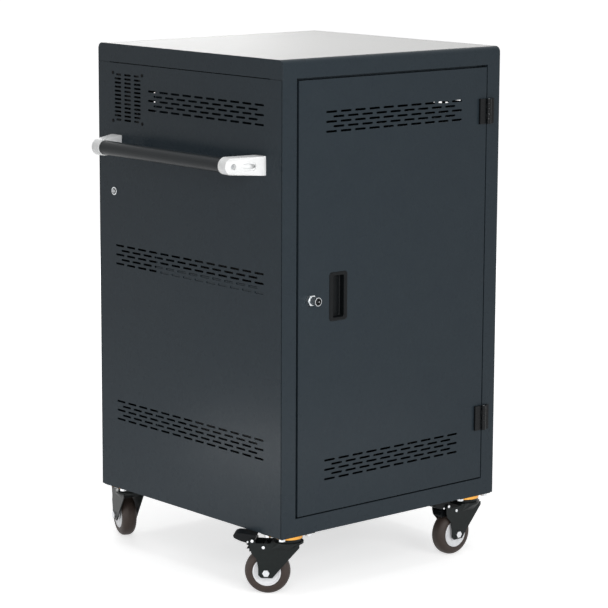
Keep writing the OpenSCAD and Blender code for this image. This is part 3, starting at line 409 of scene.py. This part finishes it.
for node in ("socket_strips", "mains_inlet", "power_rocker"):
    softened(node, electricLook, blackAbs)
for node in ("fan_housing", "fan_rotor"):
    softened(node, electricLook, fanNylonPaintedShade)
for node in ("frame_hinge_leaves", "front_door_leaves", "rear_door_leaves"):
    softened(node, hingeLook, hingeEnamel)
softened("handle_brackets", bracketLook, whiteNylon)
softened("handle_tube", tubeLook, tubeCoat)
for node in ("pedal_front_left", "pedal_front_right"):
    softened(node, pedalLook, blackAbs)
print("fittings made")


# Locks, screws and plates

metalLook = {"edge": 0.5, "steps": 2, "sharp": 28}

# Lock faces: smoked nickel between a chrome rim and a bright middle round the keyway
smokedLook = {
    "sockets": {"Metallic": 1.0},
    "tones": ("#1c1d1e", "#262728"), "cloud": 4,
    "rough": (0.26, 0.38), "haze": 2,
    "relief": (),
}
lockTone = "#d6d9db"
lockBlend = 0.3  # millimetres on each side of a ring's edge
lockRings = {  # which way the face lies, and the radii between which it is smoked, in millimetres
    "front_lock_barrel": ((1, 0, 1), 2.0, 7.9),
    "front_lock_plug": ((1, 0, 1), 2.0, 7.9),
    "side_lock_barrel": ((0, 1, 1), 4.0, 6.4),
    "side_lock_plug": ((0, 1, 1), 4.0, 6.4),
}

for node, (flat, inner, outer) in lockRings.items():
    lockNickel = makeFinish(node + "Nickel", smokedLook)
    shader = lockNickel.node_tree.nodes["Principled BSDF"]
    middle = (Vector(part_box(node)[0]) + Vector(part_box(node)[1])) / 2
    centred = addNode(lockNickel, "ShaderNodeMapping", {"Location": -middle * Vector(flat), "Scale": flat},
                      {"Vector": addNode(lockNickel, "ShaderNodeTexCoord").outputs["Object"]})
    reach = addNode(lockNickel, "ShaderNodeVectorMath", {"operation": "LENGTH"},
                    {0: centred.outputs["Vector"]})
    tone = shader.inputs["Base Color"].links[0].from_socket
    for radius, below, above in ((inner, 1, 0), (outer, 0, 1)):
        edge = addNode(lockNickel, "ShaderNodeMapRange", {
            "From Min": (radius - lockBlend) * mm, "From Max": (radius + lockBlend) * mm,
            "To Min": below, "To Max": above,
        }, {"Value": reach.outputs["Value"]})
        tone = addNode(lockNickel, "ShaderNodeMixRGB", {"Color2": hexToLinear(lockTone)},
                       {"Fac": edge.outputs["Result"], "Color1": tone}).outputs["Color"]
    lockNickel.node_tree.links.new(tone, shader.inputs["Base Color"])
    softened(node, metalLook, lockNickel)
for node in ("front_lock_cam", "side_lock_cam", "rear_strike", "hinge_pins", "handle_screws", "caster_bolts"):
    softened(node, metalLook, brightZinc)
softened("fan_screws", metalLook, blackOxide)

plateLookPaintedShade = {"yellow": (3.2, 9.5)}  # millimetres below the cabinet between which the bare race shows; above and below it black stands in as painted shade

plates = softened("caster_plates", metalLook, yellowZinc)
plates.data.materials.append(blackSteel)
raceTop, raceEnd = (bodyLow - depth * mm for depth in plateLookPaintedShade["yellow"])
bm = bmesh.new()
bm.from_mesh(plates.data)
for height in (raceTop, raceEnd):
    whole = bm.verts[:] + bm.edges[:] + bm.faces[:]
    bmesh.ops.bisect_plane(bm, geom=whole, plane_co=(0, 0, height), plane_no=(0, 0, 1))
for face in bm.faces:  # black above and below the race: painted shade, for the plate in the cabinet's shadow and the dark gap over the fork's crown
    face.material_index = int(not raceEnd < face.calc_center_median().z < raceTop)
bm.to_mesh(plates.data)
bm.free()
print("metalwork made")


# Casters

wheelLook = {  # outlines as radius, distance along the axle and rounding, in millimetres
    "steps": 96,
    "tyre": ((30.6, -15.1, 0), (32.4, -17, 0.8), (48.5, -17, 13.6),
             (48.5, 17, 13.6), (32.4, 17, 0.8), (30.6, 15.1, 0)),
    "core": ((4.05, -20.4, 0), (9.7, -20.4, 0.6), (9.9, -15.0, 1.0), (26.2, -15.0, 1.0), (26.6, -16.4, 0.7),
             (30.4, -16.4, 0.7), (30.4, 16.4, 0.7), (26.6, 16.4, 0.7), (26.2, 15.0, 1.0), (9.9, 15.0, 1.0),
             (9.7, 20.4, 0.6), (4.05, 20.4, 0)),
}
forkLook = {"edge": 0.8, "steps": 2, "sharp": 28}
pinLook = {"edge": 0.7, "steps": 3, "sharp": 28}
pedalRivetLook = {
    "outward": 10,  # from the pedal's pin, in millimetres
    "down": 3.5,
    "steps": 24,
    "shape": ((0, -21.2, 0), (1.4, -21.2, 0), (2.6, -20.2, 0.5), (2.6, -19.6, 0), (1.8, -19.6, 0),
              (1.8, 19.6, 0), (2.6, 19.6, 0), (2.6, 20.2, 0.5), (1.4, 21.2, 0), (0, 21.2, 0)),
}

for corner in ("front_left", "front_right", "rear_left", "rear_right"):
    swivel = Vector(joints["swivel_" + corner]["pos_m"])
    axle = Vector(joints["roll_" + corner]["pos_m"])
    lead = swivel - axle
    heading = Matrix.Rotation(math.atan2(lead.y, lead.x), 4, "Z")
    wheelPlace = Matrix.Translation(axle) @ heading
    bm = turned(wheelLook["tyre"], wheelLook["steps"], wheelPlace)
    finishPiece(bm, "tyre_" + corner + "Finished", "wheel_" + corner, tyreRubber,
                ["tyre_" + corner])
    bm = turned(wheelLook["core"], wheelLook["steps"], wheelPlace)
    finishPiece(bm, "core_" + corner + "Finished", "wheel_" + corner, whitePolypropylene,
                ["core_" + corner])
    softened("fork_" + corner, forkLook, blackSteel)
    softened("pins_" + corner, pinLook, brightZinc)
    if "brake_" + corner in joints:
        pin = Vector(joints["brake_" + corner]["pos_m"])
        pedal = nodes["pedal_" + corner]["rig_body"]
        offset = Vector((-pedalRivetLook["outward"] * mm, 0, -pedalRivetLook["down"] * mm))
        rivetPlace = Matrix.Translation(pin) @ heading @ Matrix.Translation(offset)
        bm = turned(pedalRivetLook["shape"], pedalRivetLook["steps"], rivetPlace)
        finishPiece(bm, "pedalRivet_" + corner, pedal, brightZinc)
print("casters made")


# Floor, backdrop and light

stageLook = {
    "floorSize": 60,  # metres, so that its edge is never in view
    "floorTones": ("#ececec", "#f4f4f4"),
    "floorGlowPaintedShade": (0.6, 0.8),  # beside the cart and far off: the floor turns white and keeps a soft shadow, and the lower glow beside the cart is painted shade that deepens that shadow
    "paintedShadeReach": (0.6, 4.0),  # metres over which one passes into the other
    "fill": 0.26,  # even light from all round
}

bm = bmesh.new()
bmesh.ops.create_grid(bm, x_segments=1, y_segments=1, size=stageLook["floorSize"] / 2)
mesh = bpy.data.meshes.new("floor")
bm.to_mesh(mesh)
bm.free()
floor = bpy.data.objects.new("floor", mesh)
bpy.context.scene.collection.objects.link(floor)
paperFloor = makeFinish("whitePaperFloor", {
    "sockets": {"Specular IOR Level": 0.1, "Emission Color": (1, 1, 1, 1)},
    "tones": stageLook["floorTones"], "cloud": 400,
    "rough": (0.85, 0.95), "haze": 200,
    "relief": (),
})
floor.data.materials.append(paperFloor)
rays = addNode(paperFloor, "ShaderNodeLightPath").outputs
seen = addNode(paperFloor, "ShaderNodeMath", {"operation": "MAXIMUM"},
               {0: rays["Is Camera Ray"], 1: rays["Is Glossy Ray"]})
spread = addNode(paperFloor, "ShaderNodeVectorMath", {"operation": "LENGTH"},
                 {0: addNode(paperFloor, "ShaderNodeTexCoord").outputs["Object"]})
# less glow near the cart: painted shade round its foot
paintedShadeGlow = addNode(paperFloor, "ShaderNodeMapRange", {
    "From Min": stageLook["paintedShadeReach"][0], "From Max": stageLook["paintedShadeReach"][1],
    "To Min": stageLook["floorGlowPaintedShade"][0], "To Max": stageLook["floorGlowPaintedShade"][1],
}, {"Value": spread.outputs["Value"]})
glow = addNode(paperFloor, "ShaderNodeMath", {"operation": "MULTIPLY"},
               {0: seen.outputs[0], 1: paintedShadeGlow.outputs["Result"]})
shader = paperFloor.node_tree.nodes["Principled BSDF"]
paperFloor.node_tree.links.new(glow.outputs[0], shader.inputs["Emission Strength"])

world = bpy.data.worlds.new("whiteStudio")
bpy.context.scene.world = world
world.use_nodes = True
rays = addNode(world, "ShaderNodeLightPath").outputs
seen = addNode(world, "ShaderNodeMath", {"operation": "MAXIMUM"},
               {0: rays["Is Camera Ray"], 1: rays["Is Glossy Ray"]})
through = addNode(world, "ShaderNodeMath", {"operation": "MAXIMUM"},
                  {0: seen.outputs[0], 1: rays["Is Transmission Ray"]})
strength = addNode(world, "ShaderNodeMapRange", {"To Min": stageLook["fill"], "To Max": 1.0},
                   {"Value": through.outputs[0]})
backdrop = world.node_tree.nodes["Background"]
backdrop.inputs["Color"].default_value = (1, 1, 1, 1)
world.node_tree.links.new(strength.outputs["Result"], backdrop.inputs["Strength"])

softboxes = {  # where each lamp hangs, what it looks at, its width and height in metres, its watts
    "keyLamp": ((-0.3, -4.2, 1.7), (-0.1, 0, 0.6), 2.2, 1.6, 59),
    "sideLamp": ((-1.2, -1.35, 1.1), (-0.3, -0.1, 0.6), 0.7, 1.1, 7.2),
    "backLamp": ((1.8, 3.8, 1.7), (0.1, 0, 0.6), 2.2, 1.6, 40),
    "topLamp": ((0.0, 0.1, 2.6), (0, 0, 1.1), 1.4, 1.4, 16.5),
    "lowLamp": ((-0.85, 0.0, 0.10), (-0.3, 0, 0.16), 1.3, 0.12, 1.5),
    "frontLowLamp": ((0.1, -1.0, 0.10), (0.1, -0.3, 0.16), 1.3, 0.12, 0.5),
}
for name, (spot, aim, width, height, power) in softboxes.items():
    lampData = bpy.data.lights.new(name, "AREA")
    lampData.shape = "RECTANGLE"
    lampData.size = width
    lampData.size_y = height
    lampData.energy = power
    lamp = bpy.data.objects.new(name, lampData)
    bpy.context.scene.collection.objects.link(lamp)
    lamp.location = spot
    lamp.rotation_euler = (Vector(aim) - Vector(spot)).to_track_quat("-Z", "Y").to_euler()
    lamp.visible_camera = False
bpy.context.scene.view_settings.view_transform = "Standard"
print("stage and light set")
